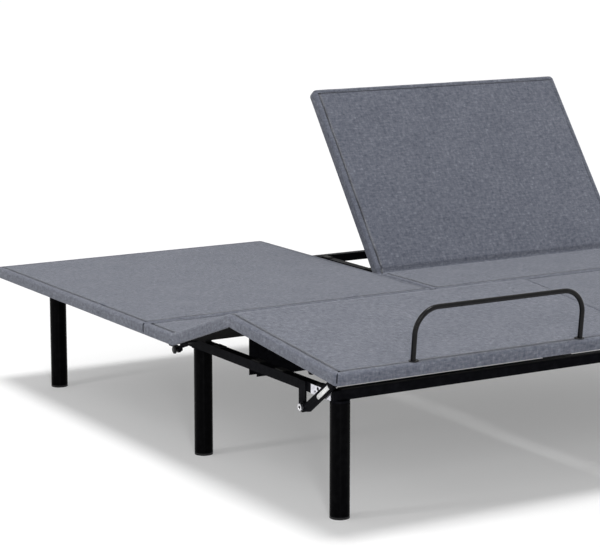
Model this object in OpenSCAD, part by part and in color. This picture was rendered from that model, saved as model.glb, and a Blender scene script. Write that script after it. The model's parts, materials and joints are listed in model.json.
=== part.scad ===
// Split adjustable bed base: two independent powered decks on one frame with six legs.
// Origin: centre of the footprint on the floor. +X to the right half, +Y to the head, +Z up.

/* [Deck] */
// Length of the deck with everything flat
deck_length = 2032; // [1900:1:2200]
// Width of one half
half_width = 965; // [900:1:1060]
// Gap between the two halves
half_gap = 10; // [4:1:30]
// Thickness of the upholstered deck
deck_thickness = 32; // [26:1:45]
// Thickness of the boards inside the deck
board_thickness = 12; // [9:1:18]
// Length of the back section
back_length = 685; // [640:1:730]
// Length of the fixed seat section
seat_length = 499; // [480:1:530]
// Length of the thigh section
thigh_length = 328; // [300:1:350]
// Corner radius of the deck in plan
corner_radius = 14; // [6:1:25]

/* [Pose] */
// Back angle of the left half
left_back_angle = 0; // [0:1:60]
// Thigh angle of the left half
left_knee_angle = 19; // [0:1:32]
// Back angle of the right half
right_back_angle = 54; // [0:1:60]
// Thigh angle of the right half
right_knee_angle = 0; // [0:1:32]

/* [Frame] */
// Height of the rails above the floor
leg_height = 302.5; // [250:0.5:360]
// Outside size of the square rail tube
rail_size = 25.5; // [22:0.5:28]
// Wall of the square tubes
tube_wall = 1.5; // [1:0.1:2.5]
// Distance from the deck's side to the outside of the rail
rail_inset = 100; // [90:1:110]
// Height of the deck above the rails
deck_gap = 3; // [2:0.5:6]
// Outside diameter of a leg
leg_diameter = 51; // [40:1:56]
// Wall of a leg tube
leg_wall = 2; // [1.5:0.1:3]
// Distance from the foot links' pivots back to the foot legs
foot_leg_back = 120.5; // [110:0.5:135]
// Distance from the thigh hinges to the middle legs
middle_leg_ahead = 59; // [50:1:75]
// Distance of the head legs from the head end
head_leg_inset = 182; // [170:1:195]

/* [Mechanism] */
// Drop of the hinge axes below the deck
hinge_drop = 12; // [11:0.5:14]
// Height of both drives above the floor
drive_height = 240; // [235:1:245]
// Distance of the leg drive from the half's middle
drive_offset = 90; // [85:1:100]
// Width of the drive cradle
cradle_width = 464; // [440:1:500]
// Diameter of the clevis pins
clevis_pin = 10; // [8:0.5:12]
// Diameter of the push rods
rod_diameter = 20; // [16:1:22]
// Width of a foot link
link_width = 26; // [25:1:30]
// Diameter of the pin that slides in a foot link
link_pin = 5; // [4:0.5:6]

/* [Retainer bar] */
// Distance between the feet of the bar
bar_width = 510; // [400:5:600]
// Height of the bar above the deck
bar_height = 138; // [110:1:170]
// Diameter of the bar
bar_diameter = 13; // [10:0.5:16]
// Radius of the bar's corners
bar_radius = 64; // [40:1:80]

/* [Hidden] */
$fn = 48;
// Clearances
weld_gap = 0.2;
soft_gap = 0.3;
running_gap = 0.05;
joint_gap = 1;
// Largest angles and the ratios of what follows them
back_max = 60;
knee_max = 32;
foot_ratio = 1.3;
link_ratio = 1.412;
link_flat = 5.2;
// Heights
z_rail = leg_height;
z_rail_top = z_rail + rail_size;
z_deck = z_rail_top + deck_gap;
z_board_top = z_deck + board_thickness;
z_top = z_deck + deck_thickness;
z_hinge = z_deck - hinge_drop;
// Places along the bed
y_foot = -deck_length / 2;
y_head = deck_length / 2;
y_back = y_head - back_length;
y_thigh = y_back - seat_length;
y_knee = y_thigh - thigh_length;
seam_back = 331;
y_seam = y_back - seam_back;
link_pivot_back = 197.5;
link_pivot_y = y_knee - link_pivot_back;
y_foot_leg = link_pivot_y - foot_leg_back;
y_middle_leg = y_thigh + middle_leg_ahead;
y_head_leg = y_head - head_leg_inset;
leg_places = [y_foot_leg, y_middle_leg, y_head_leg];
cross_front_ahead = 20;
cross_front_y = y_seam + cross_front_ahead;
cross_rear_back = 30;
cross_rear_y = y_back - cross_rear_back;
// Places across one half, from its middle
half_offset = (half_width + half_gap) / 2;
rail_x = half_width / 2 - rail_inset - rail_size / 2;
rail_out = rail_x + rail_size / 2;
rail_in = rail_x - rail_size / 2;
leg_setback = 1.5;
leg_x = rail_out - leg_diameter / 2 - leg_setback;
tube_setback = 142;
tube_x = rail_in - tube_setback;
strap_inset = 24;
strap_x = half_width / 2 - strap_inset;
// Upholstery
skirt = 8;
board_side = half_width / 2 - skirt - soft_gap;
// Frame details
plate_thickness = 6;
leg_plate = leg_diameter - 1;
glide_height = 6;
glide_plug = 20;
stud_radius = 5;
stud_length = 22;
leg_cap = 5;
buffer_width = 20;
buffer_length = 40;
frame_half = half_offset + rail_in;
coupler_thickness = 3;
coupler_width = 30;
coupler_length = 140;
// Panel frames
tube_size = 20;
tube_top = z_deck;
bar_offset = 36;
knee_bar_offset = 41;
panel_end_gap = 20;
lug_radius = 9;
lug_reach_out = 21;
knee_reach = 18;
lug_thickness = 5;
hinge_pin = 8;
lug_gap = 0.5;
strap_thickness = 3;
strap_length = 58;
strap_flange = 30;
strap_flange_start = 18;
knob_radius = 11;
knob_bevel = 2.5;
knob_edge = 3;
knob_spacer = 8;
knob_spacer_radius = 6.5;
// Drives
crank_drop = z_hinge - drive_height;
crank_thickness = 5;
crank_width = 32;
crank_lip = 6;
crank_play = 0.026;
drive_spacing = 80;
back_drive_x = drive_offset - drive_spacing;
eye_thickness = rod_diameter;
eye_radius = 13;
crank_spread = eye_thickness / 2 + joint_gap;
gearbox_length = 60;
gearbox_width = 110;
gearbox_height = 64;
gearbox_corner = 8;
motor_radius = 29;
motor_length = 120;
motor_shift = 55;
drive_tube_radius = 18;
drive_tube_bore = 14;
bush_length = 20;
rod_seat = 45;
lug_reach = 17;
cheek_thickness = 4;
cheek_half = 15;
cheek_end = 12;
back_drive_ahead = 43;
back_drive_y = y_thigh + back_drive_ahead;
leg_drive_back = 24;
leg_drive_y = cross_rear_y - leg_drive_back;
back_rod_reach = 58;
leg_rod_reach = 42;
back_swing = crank_drop * tan(back_max / 2);
knee_swing = crank_drop * tan(knee_max / 2);
back_tube_end = y_back - back_swing - back_rod_reach;
leg_tube_end = y_thigh + knee_swing + leg_rod_reach;
cradle_ahead = 18;
cradle_y = y_thigh + cradle_ahead;
cradle_bottom = drive_height - gearbox_height / 2;
cradle_top_gap = 9;
cradle_top = z_deck - cradle_top_gap;
cradle_plate = 3;
cradle_flange = 8;
arm_x = 130;
notch_side = 10;
notch_top = z_rail - 1;
// Foot links
link_pivot_drop = 56.6;
link_pivot_z = z_hinge - link_pivot_drop;
link_pin_back = 365;
link_pin_drop = 40;
link_pin_radius = 168.4;
link_swing = 1.9;
link_offset = 12;
link_lean = asin(link_offset / link_pin_radius);
link_eye = 14;
link_shoulder = 25;
link_thickness = 5;
link_bolt = 10;
liner_wall = 1.2;
liner_web = 1.5;
liner_lip = 0.4;
slot_half = link_pin / 2 + link_swing + lug_gap;
slot_start = 87;
slot_end = link_pin_radius + 6;
hanger_thickness = 4;
hanger_width = 32;
hanger_ahead = 9.5;
hanger_eye = 13;
link_x = rail_out + hanger_thickness + 0.5;
bracket_x = link_x + link_thickness + 4;
bracket_thickness = 4;
bracket_half = 34;
bracket_tip = 12;
bracket_flange = 44;
rail_plate_thickness = 3;
rail_plate_end = 89;
rail_plate_length = 93;
rail_plate_edge = 0.5;
rail_plate_bolt = 5;
rail_plate_screw = 3;
// Each hole's place along the plate from its head end, its place up the plate, and its radius
rail_plate_holes = [[0.355, 0.73, rail_plate_bolt], [0.215, 0.36, rail_plate_screw]];
// Retainer bar's place and sockets
bar_end_inset = 16;
bar_y_place = y_foot + bar_end_inset;
socket_wall = 2.5;
socket_radius = bar_diameter / 2 + socket_wall;
socket_flange = socket_radius + 2;
flange_height = 2;
// Controls
box_width = 120;
box_length = 140;
box_height = 38;
box_corner = 6;
box_y = (cross_front_y + cross_rear_y - box_length) / 2;
inlet_radius = 8;
inlet_length = 12;

// ---------- helpers ----------

// A profile drawn in the YZ plane, extruded along +X from x
module profile(x, thickness) {
    translate([x, 0, 0]) rotate([90, 0, 90]) linear_extrude(thickness) children();
}

// A round bar along +X
module bar_x(x, y, z, radius, length) {
    translate([x, y, z]) rotate([0, 90, 0]) cylinder(r = radius, h = length);
}

// A round bar along +Y
module bar_y(x, y, z, radius, length) {
    translate([x, y, z]) rotate([-90, 0, 0]) cylinder(r = radius, h = length);
}

// A hollow square tube along +Y, closed at both ends when capped
module tube_y(x, y, z, size, length, capped = false) {
    cap = capped ? 2 * tube_wall : -1;
    translate([x - size / 2, y, z]) difference() {
        cube([size, length, size]);
        translate([tube_wall, cap, tube_wall])
            cube([size - 2 * tube_wall, length - 2 * cap, size - 2 * tube_wall]);
    }
}

// A hollow square tube along +X, centred on x = 0
module tube_x_bar(y, z, size, length) {
    translate([-length / 2, y - size / 2, z]) difference() {
        cube([length, size, size]);
        translate([-1, tube_wall, tube_wall])
            cube([length + 2, size - 2 * tube_wall, size - 2 * tube_wall]);
    }
}

// A rectangle with round corners
module rounded_plan(x0, x1, y0, y1, radius) {
    translate([x0 + radius, y0]) square([x1 - x0 - 2 * radius, y1 - y0]);
    translate([x0, y0 + radius]) square([x1 - x0, y1 - y0 - 2 * radius]);
    for (x = [x0 + radius, x1 - radius], y = [y0 + radius, y1 - radius])
        translate([x, y]) circle(radius);
}

// Copies on both sides of a half
module mirrored() {
    children();
    mirror([1, 0, 0]) children();
}

// Places one half: side is -1 for the left half and 1 for the right
module half(side) {
    translate([side * half_offset, 0, 0]) children();
}

module both_halves() {
    half(-1) children();
    half(1) children();
}

// One half with +X away from the bed's middle
module outer_side(side) {
    half(side) mirror([side < 0 ? 1 : 0, 0, 0]) children();
}

module outer_sides() {
    outer_side(-1) children();
    outer_side(1) children();
}

// ---------- motion ----------

module turned(y, z, angle) {
    translate([0, y, z]) rotate([angle, 0, 0]) translate([0, -y, -z]) children();
}

module at_back(angle) {
    turned(y_back, z_hinge, angle) children();
}

module at_thigh(angle) {
    turned(y_thigh, z_hinge, -angle) children();
}

module at_foot(angle) {
    at_thigh(angle) turned(y_knee, z_hinge, foot_ratio * angle) children();
}

module at_link(angle) {
    turned(link_pivot_y, link_pivot_z, -link_flat - link_ratio * angle) children();
}

// How far a push rod's pin lies from its hinge along the bed
function rod_travel(angle, angle_max) =
    crank_drop * tan(angle_max / 2) * (2 * angle / angle_max - 1);

module at_back_rod(angle) {
    translate([0, rod_travel(angle, back_max), 0]) children();
}

module at_leg_rod(angle) {
    translate([0, -rod_travel(angle, knee_max), 0]) children();
}

// ---------- frame ----------

// Outer rails in two lengths that meet at the seam, inner rails in lengths between the crossbars
module side_rails() {
    foot_start = y_foot_leg - rail_size / 2;
    head_start = y_seam + weld_gap / 2;
    foot_length = y_seam - weld_gap / 2 - foot_start;
    head_length = y_head_leg + rail_size / 2 - head_start;
    bars = [y_foot_leg, cross_front_y, cross_rear_y, y_head_leg];
    color("#17171a") outer_sides() {
        tube_y(rail_x, foot_start, z_rail, rail_size, foot_length, true);
        tube_y(rail_x, head_start, z_rail, rail_size, head_length, true);
        for (i = [0 : 2])
            tube_y(-rail_x, bars[i] + rail_size / 2, z_rail, rail_size, bars[i + 1] - bars[i] - rail_size);
    }
}

module end_rails() {
    color("#17171a") for (y = [y_foot_leg, y_head_leg])
        tube_x_bar(y, z_rail, rail_size, 2 * frame_half);
}

module cross_members() {
    color("#17171a") for (y = [cross_front_y, cross_rear_y])
        tube_x_bar(y, z_rail, rail_size, 2 * frame_half);
}

// Deep plate facing the foot end, on two arms from the front cross member
module drive_cradles() {
    arm_start = cradle_y + cradle_plate + weld_gap;
    arm_length = cross_front_y - rail_size / 2 - weld_gap - arm_start;
    notch = 2 * (crank_spread + crank_thickness + notch_side);
    corner = 3 * cradle_flange;
    color("#131315") both_halves() {
        difference() {
            translate([-cradle_width / 2, cradle_y, cradle_bottom])
                cube([cradle_width, cradle_plate, cradle_top - cradle_bottom]);
            translate([drive_offset - notch / 2, cradle_y - 1, cradle_bottom - 1])
                cube([notch, cradle_plate + 2, notch_top - cradle_bottom + 1]);
            mirrored()
                translate([cradle_width / 2 - corner, cradle_y - 1, cradle_bottom - 1])
                cube([corner + 1, cradle_plate + 2, cradle_flange + 1]);
        }
        mirrored() tube_y(arm_x, arm_start, z_rail, rail_size, arm_length);
    }
}

module at_legs() {
    outer_sides() for (y = leg_places) translate([leg_x, y, 0]) children();
}

module leg_plates() {
    plate_z = z_rail - plate_thickness;
    color("#17171a") at_legs() difference() {
        translate([0, 0, plate_z]) cylinder(d = leg_plate, h = plate_thickness);
        translate([0, 0, plate_z - 1])
            cylinder(r = stud_radius + running_gap, h = plate_thickness + 2);
    }
}

module legs() {
    top = z_rail - plate_thickness;
    color("#0e0e10") at_legs() difference() {
        translate([0, 0, glide_height]) cylinder(d = leg_diameter, h = top - glide_height);
        translate([0, 0, glide_height - 1])
            cylinder(r = leg_diameter / 2 - leg_wall, h = top - glide_height - leg_cap + 1);
        translate([0, 0, top - leg_cap - 1])
            cylinder(r = stud_radius + running_gap, h = leg_cap + 2);
    }
}

module leg_glides() {
    plug_radius = leg_diameter / 2 - leg_wall - running_gap;
    color("#1c1c1e") at_legs() {
        cylinder(d = leg_diameter, h = glide_height);
        cylinder(r = plug_radius, h = glide_height + glide_plug);
    }
}

module leg_studs() {
    color("silver") at_legs() translate([0, 0, z_rail - weld_gap - stud_length])
        cylinder(r = stud_radius, h = stud_length);
}

// A place from a towards b
function along(a, b, share) = a + (b - a) * share;

// Rubber buffers on the side rails and the foot rail: they touch the seat, panels land on them
module rail_buffers() {
    seat_places = [
        along(y_back, y_seam, 0.18), along(y_back, y_seam, 0.8),
        along(y_seam, y_thigh, 0.36), along(y_seam, y_thigh, 0.88)
    ];
    panel_places = [
        along(y_back, y_head, 0.28), along(y_back, y_head, 0.67),
        along(y_thigh, y_knee, 0.19), along(y_thigh, y_knee, 0.83),
        along(y_knee, y_foot, 0.12), along(y_knee, y_foot, 0.51)
    ];
    color("#222224") both_halves() mirrored() {
        for (y = seat_places) rail_buffer(y, deck_gap);
        for (y = panel_places) rail_buffer(y, deck_gap - soft_gap);
    }
    color("#222224") outer_sides()
        translate([half_gap / 2 - half_offset, y_foot_leg - buffer_width / 2, z_rail_top])
        cube([half_offset - half_gap / 2 + rail_in, buffer_width, deck_gap - soft_gap]);
}

module rail_buffer(y, height) {
    translate([rail_x - buffer_width / 2, y - buffer_length / 2, z_rail_top])
        cube([buffer_width, buffer_length, height]);
}

// Plates across the seam, behind the outer rails and under the inner ones
module frame_couplers() {
    start = y_seam - coupler_length / 2;
    end = cross_front_y - rail_size / 2 - weld_gap;
    drop = weld_gap + coupler_thickness;
    color("#17171a") outer_sides() {
        translate([rail_in - drop, start, z_rail + weld_gap])
            cube([coupler_thickness, end - start, rail_size - 2 * weld_gap]);
        translate([-rail_x - coupler_width / 2, start, z_rail - drop])
            cube([coupler_width, coupler_length, coupler_thickness]);
    }
}

// Plated plates with two holes on the outer rails' faces by the foot legs
module rail_plates() {
    head_end = y_foot_leg + rail_plate_end;
    bottom = z_rail + rail_plate_edge;
    height = rail_size - 2 * rail_plate_edge;
    color("#c9c8d6") outer_sides() difference() {
        translate([rail_out, head_end - rail_plate_length, bottom])
            cube([rail_plate_thickness, rail_plate_length, height]);
        for (hole = rail_plate_holes)
            bar_x(rail_out - 1, head_end - hole[0] * rail_plate_length,
                bottom + hole[1] * height, hole[2], rail_plate_thickness + 2);
    }
}

// ---------- deck ----------

// Side view of a deck section: each end is [hinge place, lean in degrees, gap]
module section_profile(foot_end, head_end, z0, z1) {
    polygon([
        for (z = [z0, z1]) [foot_end[0] + foot_end[2] + (z - z_hinge) * tan(foot_end[1]), z],
        for (z = [z1, z0]) [head_end[0] - head_end[2] - (z - z_hinge) * tan(head_end[1]), z]
    ]);
}

module section_board(foot_end, head_end) {
    foot = [foot_end[0], foot_end[1], foot_end[2] + skirt];
    head = [head_end[0], head_end[1], head_end[2] + skirt];
    color("#1b1a19") profile(-board_side, 2 * board_side)
        section_profile(foot, head, z_deck, z_board_top);
}

module section_pad(foot_end, head_end) {
    inset = skirt - soft_gap;
    foot = [foot_end[0], foot_end[1], foot_end[2] + inset];
    head = [head_end[0], head_end[1], head_end[2] + inset];
    plan_foot = foot_end[0] == y_foot ? y_foot : foot_end[0] - 2 * corner_radius;
    plan_head = head_end[0] == y_head ? y_head : head_end[0] + 2 * corner_radius;
    color("#8b919d") difference() {
        intersection() {
            profile(-half_width / 2, half_width)
                section_profile(foot_end, head_end, z_deck, z_top);
            translate([0, 0, z_deck - 1]) linear_extrude(deck_thickness + 2)
                rounded_plan(-half_width / 2, half_width / 2, plan_foot, plan_head, corner_radius);
        }
        profile(-half_width / 2 + inset, half_width - 2 * inset)
            section_profile(foot, head, z_deck - 1, z_board_top + soft_gap);
    }
}

back_foot_end = [y_back, back_max / 2, joint_gap];
back_head_end = [y_head, 0, 0];
seat_foot_end = [y_thigh, knee_max / 2, joint_gap];
seat_head_end = [y_back, back_max / 2, joint_gap];
seam_end = [y_seam, 0, joint_gap / 2];
thigh_foot_end = [y_knee, 0, joint_gap];
thigh_head_end = [y_thigh, knee_max / 2, joint_gap];
foot_foot_end = [y_foot, 0, 0];
foot_head_end = [y_knee, 0, joint_gap];

module seat_boards() {
    both_halves() {
        section_board(seat_foot_end, seam_end);
        section_board(seam_end, seat_head_end);
    }
}

module seat_pads() {
    section_pad(seat_foot_end, seam_end);
    section_pad(seam_end, seat_head_end);
}

module back_board() {
    section_board(back_foot_end, back_head_end);
}

module back_pad() {
    section_pad(back_foot_end, back_head_end);
}

module thigh_board() {
    section_board(thigh_foot_end, thigh_head_end);
}

module thigh_pad() {
    section_pad(thigh_foot_end, thigh_head_end);
}

module foot_board() {
    section_board(foot_foot_end, foot_head_end);
}

// The foot pad has two holes for the retainer bar's sockets
module foot_pad() {
    difference() {
        section_pad(foot_foot_end, foot_head_end);
        mirrored() translate([bar_width / 2, bar_y_place, z_board_top])
            cylinder(r = socket_radius + soft_gap, h = deck_thickness);
    }
}

// ---------- hinges and panel frames ----------

// A hinge lug in side view: a round end at the hinge and a tongue along the bed to y
module lug_profile(y_axis, y) {
    low = min(y_axis, y);
    translate([low, z_hinge - lug_radius]) square([abs(y - y_axis), 2 * lug_radius]);
    translate([y_axis, z_hinge]) circle(lug_radius);
}

module lug(x, y_axis, y, thickness) {
    difference() {
        profile(x, thickness) lug_profile(y_axis, y);
        bar_x(x - 1, y_axis, z_hinge, hinge_pin / 2 + running_gap, thickness + 2);
    }
}

fixed_lug_x = tube_x - lug_thickness - lug_gap / 2;
moving_lug_x = tube_x + lug_gap / 2;

module hinge_pin_at(y_axis) {
    head = 3;
    length = 2 * lug_thickness + 3 * lug_gap;
    start = fixed_lug_x - lug_gap;
    bar_x(start, y_axis, z_hinge, hinge_pin / 2, length);
    bar_x(start - head, y_axis, z_hinge, hinge_pin * 0.8, head);
    bar_x(start + length, y_axis, z_hinge, hinge_pin * 0.8, head);
}

// Fixed lugs on the rear cross member, with the pins that the back turns on
module back_hinges() {
    lug_start = cross_rear_y + rail_size / 2 + weld_gap;
    color("#17171a") both_halves() mirrored() {
        lug(fixed_lug_x, y_back, lug_start, lug_thickness);
        hinge_pin_at(y_back);
    }
}

// Side view of a hinge strap, from its hinge to y, with the flange's side view
module strap(x, y_axis, y, flange_start) {
    difference() {
        union() {
            profile(x, strap_thickness) {
                translate([y_axis, z_hinge]) circle(lug_radius);
                translate([min(y_axis, y), z_hinge]) square([abs(y - y_axis), lug_radius]);
                translate([min(flange_start, y), z_hinge])
                    square([abs(y - flange_start), hinge_drop]);
            }
            translate([x - strap_flange, min(flange_start, y), z_deck - strap_thickness])
                cube([
                    strap_flange + strap_thickness,
                    abs(y - flange_start),
                    strap_thickness
                ]);
        }
        bar_x(x - 1, y_axis, z_hinge, hinge_pin / 2 + running_gap, strap_thickness + 2);
    }
}

// Straps under the seat's edges that carry the thigh section
module thigh_hinges() {
    color("#17171a") both_halves() mirrored()
        strap(strap_x, y_thigh, y_thigh + strap_length, y_thigh + strap_flange_start);
}

// Shoulder bolts: a nut inside, a spacer and a wide bevelled cap outside
module thigh_hinge_bolts() {
    nut = 5;
    spacer_x = strap_x + 2 * strap_thickness + 2 * lug_gap;
    cap_x = spacer_x + knob_spacer;
    color("#0e0e10") both_halves() mirrored() {
        bar_x(strap_x - nut, y_thigh, z_hinge, hinge_pin / 2, cap_x - strap_x + nut);
        bar_x(strap_x - nut - lug_gap, y_thigh, z_hinge, knob_spacer_radius, nut);
        bar_x(spacer_x, y_thigh, z_hinge, knob_spacer_radius, knob_spacer);
        bar_x(cap_x, y_thigh, z_hinge, knob_radius, knob_edge);
        translate([cap_x + knob_edge, y_thigh, z_hinge]) rotate([0, 90, 0])
            cylinder(r1 = knob_radius, r2 = 0.6 * knob_radius, h = knob_bevel);
    }
}

// Two long tubes and two cross bars under a panel
module ladder(y0, y1, bars) {
    side = tube_x - tube_size / 2 - weld_gap;
    mirrored() tube_y(tube_x, min(y0, y1), tube_top - tube_size, tube_size, abs(y1 - y0), true);
    for (y = bars) tube_x_bar(y, tube_top - tube_size, tube_size, 2 * side);
}

// One pair of crank plates: slots run from the hinge, at the given angle from straight down
module crank(x, y_axis, y_bar, lean, angle_max) {
    reach = crank_drop / cos(angle_max / 2);
    play = crank_drop * crank_play * angle_max / back_max;
    slot = clevis_pin / 2 + play + 0.5;
    top = tube_top - tube_size - weld_gap;
    side = y_bar > y_axis ? 1 : -1;
    pin_y = y_axis + reach * sin(lean);
    pin_z = z_hinge - reach * cos(lean);
    half_y = side * crank_width / 2 * cos(lean);
    half_z = side * crank_width / 2 * sin(lean);
    for (s = [-1, 1])
        profile(x + s * (crank_spread + crank_thickness / 2) - crank_thickness / 2,
                crank_thickness)
            difference() {
                union() {
                    polygon([
                        [y_axis - side * crank_lip, top],
                        [y_bar + side * tube_size / 2, top],
                        [pin_y + half_y, pin_z + half_z],
                        [pin_y - half_y, pin_z - half_z]
                    ]);
                    translate([pin_y, pin_z]) circle(crank_width / 2);
                }
                translate([y_axis, z_hinge]) rotate(lean) {
                    for (r = [crank_drop - 0.5, reach + 0.5])
                        translate([0, -r]) circle(slot);
                    translate([-slot, -reach - 0.5])
                        square([2 * slot, reach - crank_drop + 1]);
                }
            }
}

module back_frame() {
    bar = y_back + bar_offset;
    end = y_head_leg - rail_size / 2 - panel_end_gap;
    color("#17171a") {
        ladder(y_back + lug_reach_out, end, [bar, end - tube_size]);
        mirrored() lug(moving_lug_x, y_back, y_back + lug_reach_out + 1, lug_thickness);
        crank(back_drive_x, y_back, bar, -back_max / 2, back_max);
    }
}

module thigh_frame() {
    bar = y_thigh - bar_offset;
    strap_end = y_thigh - strap_length;
    color("#17171a") {
        ladder(y_thigh - lug_reach_out, y_knee + knee_reach, [bar, y_knee + knee_bar_offset]);
        mirrored() lug(fixed_lug_x, y_knee, y_knee + knee_reach + 1, lug_thickness);
        crank(drive_offset, y_thigh, bar, knee_max / 2, knee_max);
        mirrored() strap(strap_x + strap_thickness + lug_gap, y_thigh, strap_end,
            y_thigh - strap_flange_start);
    }
}

module foot_frame() {
    end = y_foot_leg + rail_size / 2 + panel_end_gap;
    color("#17171a") {
        ladder(y_knee - knee_reach, end, [y_knee - knee_bar_offset, end + tube_size]);
        mirrored() lug(moving_lug_x, y_knee, y_knee - knee_reach - 1, lug_thickness);
    }
}

module knee_pins() {
    color("silver") mirrored() hinge_pin_at(y_knee);
}

// ---------- drives ----------

// Both drives of a half: the back drive pushes to the head, the leg drive to the foot
module back_side() {
    translate([back_drive_x, back_drive_y, drive_height]) children();
}

module leg_side() {
    translate([drive_offset, leg_drive_y, drive_height]) rotate([0, 0, 180]) children();
}

// A gearbox seen from its rear pin: +Y is the way it pushes, the motor sits towards -X
module gearbox() {
    difference() {
        union() {
            translate([0, 0, -gearbox_height / 2]) linear_extrude(gearbox_height)
                rounded_plan(drive_tube_radius + 7 - gearbox_width, drive_tube_radius + 7,
                    lug_reach, lug_reach + gearbox_length, gearbox_corner);
            bar_x(-eye_thickness / 2, 0, 0, eye_radius, eye_thickness);
            translate([-eye_thickness / 2, 0, -eye_radius])
                cube([eye_thickness, lug_reach + 1, 2 * eye_radius]);
        }
        bar_x(-eye_thickness, 0, 0, clevis_pin / 2 + running_gap, 2 * eye_thickness);
    }
}

module gearboxes() {
    color("#202022") both_halves() {
        back_side() gearbox();
        leg_side() gearbox();
    }
}

module motor() {
    start = lug_reach + gearbox_length + weld_gap;
    bar_y(-motor_shift, start, 0, motor_radius, motor_length);
    bar_y(-motor_shift, start + motor_length, 0, motor_radius * 0.6, 8);
}

module motors() {
    color("#151517") both_halves() {
        back_side() motor();
        leg_side() motor();
    }
}

// Outer tube with the bush that guides the push rod
module drive_tube(length) {
    start = lug_reach + gearbox_length + weld_gap;
    difference() {
        bar_y(0, start, 0, drive_tube_radius, length - start);
        bar_y(0, start + 6, 0, drive_tube_bore, length - start - 6 - bush_length);
        bar_y(0, start + 7, 0, rod_diameter / 2 + running_gap, length);
    }
}

module drive_tubes() {
    color("#a9abb0") both_halves() {
        back_side() drive_tube(back_tube_end - back_drive_y);
        leg_side() drive_tube(leg_drive_y - leg_tube_end);
    }
}

// A push rod drawn with its pin at the origin; +Y is the way it pushes
module push_rod(rear) {
    pin_length = 2 * (crank_spread + crank_thickness + 4);
    difference() {
        union() {
            bar_y(0, -rear, 0, rod_diameter / 2, rear);
            bar_x(-eye_thickness / 2, 0, 0, eye_radius, eye_thickness);
        }
        bar_x(-eye_thickness, 0, 0, clevis_pin / 2 + running_gap, 2 * eye_thickness);
    }
    bar_x(-pin_length / 2, 0, 0, clevis_pin / 2, pin_length);
    for (s = [0, 1]) mirror([s, 0, 0]) bar_x(pin_length / 2 - 2, 0, 0, clevis_pin * 0.75, 2);
}

module back_rod() {
    color("#b9bbc0") translate([back_drive_x, y_back, drive_height])
        push_rod(back_rod_reach + 2 * back_swing + rod_seat);
}

module leg_rod() {
    color("#b9bbc0") translate([drive_offset, y_thigh, drive_height]) rotate([0, 0, 180])
        push_rod(leg_rod_reach + 2 * knee_swing + rod_seat);
}

// Cheeks that hold the rear end of each drive
module drive_bracket_cheeks(y0, y1, y_pin, top) {
    bottom = drive_height - cheek_half;
    for (s = [0, 1]) mirror([s, 0, 0]) difference() {
        translate([eye_thickness / 2 + lug_gap, y0, bottom])
            cube([cheek_thickness, y1 - y0, top - bottom]);
        bar_x(0, y_pin, drive_height, clevis_pin / 2 + running_gap, 2 * eye_thickness);
    }
}

module drive_brackets() {
    color("#17171a") both_halves() {
        translate([back_drive_x, 0, 0])
            drive_bracket_cheeks(cradle_y + cradle_plate + weld_gap, back_drive_y + cheek_end,
                back_drive_y, drive_height + cheek_half);
        translate([drive_offset, 0, 0])
            drive_bracket_cheeks(leg_drive_y - cheek_end, cross_rear_y + rail_size / 2,
                leg_drive_y, z_rail - weld_gap);
    }
}

module drive_pins() {
    length = eye_thickness + 2 * (lug_gap + cheek_thickness + 3);
    places = [[back_drive_x, back_drive_y], [drive_offset, leg_drive_y]];
    color("silver") both_halves() for (p = places) {
        bar_x(p[0] - length / 2, p[1], drive_height, clevis_pin / 2, length);
        for (s = [-1, 1])
            bar_x(p[0] + s * length / 2 - 1, p[1], drive_height, clevis_pin * 0.75, 2);
    }
}

// ---------- controls ----------

module control_boxes() {
    color("#1a1a1c") both_halves() translate([0, 0, z_deck - box_height])
        linear_extrude(box_height)
        rounded_plan(-box_width / 2, box_width / 2, box_y, box_y + box_length, box_corner);
}

module power_inlets() {
    y = box_y + box_length;
    z = z_deck - box_height / 2;
    color("#0c0c0d") both_halves() difference() {
        bar_y(0, y, z, inlet_radius, inlet_length);
        bar_y(0, y + 2, z, inlet_radius * 0.6, inlet_length);
    }
}

// ---------- foot links ----------

module link_hangers() {
    hanger_y = link_pivot_y + hanger_ahead;
    color("#17171a") outer_sides() difference() {
        profile(rail_out, hanger_thickness) {
            translate([hanger_y - hanger_width / 2, link_pivot_z])
                square([hanger_width, z_rail_top - link_pivot_z]);
            translate([link_pivot_y, link_pivot_z]) circle(hanger_eye);
        }
        bar_x(rail_out - 1, link_pivot_y, link_pivot_z, link_bolt / 2 + running_gap,
            hanger_thickness + 2);
    }
}

module link_bolts() {
    nut = 7;
    head = 7;
    shank = link_x + link_thickness + 1 - rail_out;
    color("#c8c8cc") outer_sides() {
        bar_x(rail_out - nut, link_pivot_y, link_pivot_z, link_bolt / 2, shank + nut);
        bar_x(rail_out - nut, link_pivot_y, link_pivot_z, link_bolt * 0.85, nut);
        bar_x(rail_out + shank, link_pivot_y, link_pivot_z, link_bolt * 0.9, head);
    }
}

// The link's straight part runs below its pivot, to -Y, and its line meets the sliding pin
module link_line() {
    translate([link_pivot_y, link_pivot_z]) rotate(-link_lean) translate([0, -link_offset])
        children();
}

// A stadium shape along the link's line
module stadium(start, end, radius) {
    for (r = [start, end]) translate([-r, 0]) circle(radius);
    translate([-end, -radius]) square([end - start, 2 * radius]);
}

module foot_link() {
    edge = link_width / 2;
    reach = slot_end + slot_half + liner_wall;
    color("#131315") difference() {
        profile(link_x, link_thickness) link_line() difference() {
            union() {
                translate([0, link_offset]) circle(link_eye);
                polygon([
                    [0, edge], [-reach, edge], [-reach, -edge],
                    [-link_shoulder, -edge], [0, link_offset - link_eye]
                ]);
                translate([-reach, 0]) circle(edge);
            }
            stadium(slot_start, slot_end, slot_half + liner_wall + running_gap);
        }
        bar_x(link_x - 1, link_pivot_y, link_pivot_z, link_bolt / 2 + running_gap,
            link_thickness + 2);
    }
}

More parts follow.
